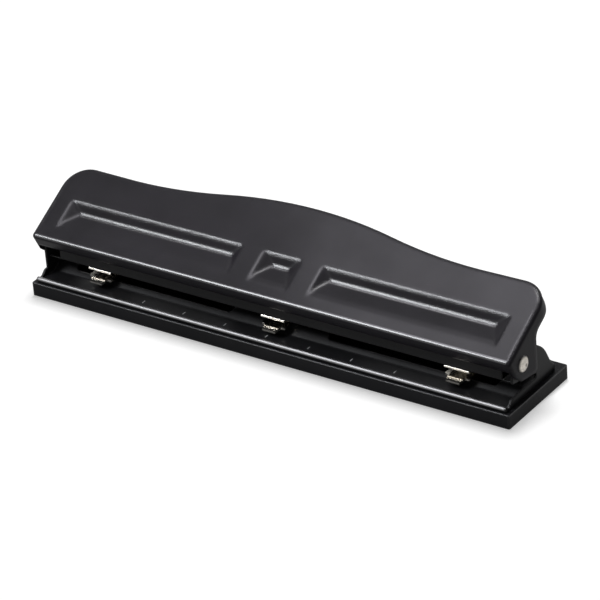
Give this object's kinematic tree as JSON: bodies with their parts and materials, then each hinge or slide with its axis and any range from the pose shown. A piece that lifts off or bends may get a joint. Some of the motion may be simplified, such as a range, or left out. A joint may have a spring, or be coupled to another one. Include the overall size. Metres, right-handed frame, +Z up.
{
  "type": "three-hole paper punch",
  "caption": "Manual desk punch for loose-leaf paper: a stamped black lever presses spring-return punch pins in sliding heads over a folded steel frame and a chip tray.",
  "frame": {"origin": "on the table, under the middle of the chip tray", "axes": "+X to the right along the machine, +Z up, -Y towards the side the paper is fed in from"},
  "size_m": [0.291, 0.055, 0.0612],
  "materials": {
    "black_enamel": "semi-gloss baked black enamel on folded sheet steel",
    "tray_plastic": "satin moulded black plastic",
    "foot_rubber": "matt soft rubber",
    "nickel_plate": "bright nickel plate on stamped steel",
    "zinc_plate": "satin zinc and nickel plate",
    "tool_steel": "ground hardened steel",
    "spring_wire": "drawn spring steel wire"
  },
  "bodies": {
    "base_frame": {"base_frame": "black_enamel", "punch_rail": "black_enamel", "pivot_rivets": "zinc_plate", "pivot_washers": "zinc_plate", "head_bracket_centre": "nickel_plate", "stripper_plate_centre": "nickel_plate", "lock_screw_centre": "zinc_plate", "lock_washer_centre": "zinc_plate", "lock_nut_centre": "zinc_plate", "return_spring_centre": "spring_wire"},
    "chip_tray": {"chip_tray": "tray_plastic", "rubber_feet": "foot_rubber"},
    "lever": {"lever_handle": "black_enamel"},
    "head_left": {"head_bracket_left": "nickel_plate", "stripper_plate_left": "nickel_plate", "lock_screw_left": "zinc_plate", "lock_washer_left": "zinc_plate", "lock_nut_left": "zinc_plate", "return_spring_left": "spring_wire"},
    "head_right": {"head_bracket_right": "nickel_plate", "stripper_plate_right": "nickel_plate", "lock_screw_right": "zinc_plate", "lock_washer_right": "zinc_plate", "lock_nut_right": "zinc_plate", "return_spring_right": "spring_wire"},
    "pin_left": {"punch_pin_left": "tool_steel", "spring_clip_left": "tool_steel"},
    "pin_centre": {"punch_pin_centre": "tool_steel", "spring_clip_centre": "tool_steel"},
    "pin_right": {"punch_pin_right": "tool_steel", "spring_clip_right": "tool_steel"}
  },
  "joints": [
    {"name": "lever_press", "type": "hinge", "parent": "base_frame", "child": "lever", "pos_m": [0, -0.0119, 0.0285], "axis": [-1, 0, 0], "range_deg": [0, 30], "stiffness_Nm_per_rad": 0.6, "springref_deg": -28.65},
    {"name": "tray_release", "type": "slide", "parent": "base_frame", "child": "chip_tray", "axis": [0, 0, -1], "range_m": [0, 0.012]},
    {"name": "head_left_adjust", "type": "slide", "parent": "base_frame", "child": "head_left", "axis": [1, 0, 0], "range_m": [-0.012, 0.0635]},
    {"name": "head_right_adjust", "type": "slide", "parent": "base_frame", "child": "head_right", "axis": [-1, 0, 0], "range_m": [-0.012, 0.0635]},
    {"name": "pin_left_stroke", "type": "slide", "parent": "head_left", "child": "pin_left", "axis": [0, 0, -1], "range_m": [0, 0.0062], "deforming": ["return_spring_left"]},
    {"name": "pin_centre_stroke", "type": "slide", "parent": "base_frame", "child": "pin_centre", "axis": [0, 0, -1], "range_m": [0, 0.0062], "deforming": ["return_spring_centre"]},
    {"name": "pin_right_stroke", "type": "slide", "parent": "head_right", "child": "pin_right", "axis": [0, 0, -1], "range_m": [0, 0.0062], "deforming": ["return_spring_right"]}
  ],
  "couplings": [
    {"joint": "pin_left_stroke", "follows": "lever_press", "m_per_rad": 0.01165},
    {"joint": "pin_centre_stroke", "follows": "lever_press", "m_per_rad": 0.01165},
    {"joint": "pin_right_stroke", "follows": "lever_press", "m_per_rad": 0.01165}
  ]
}
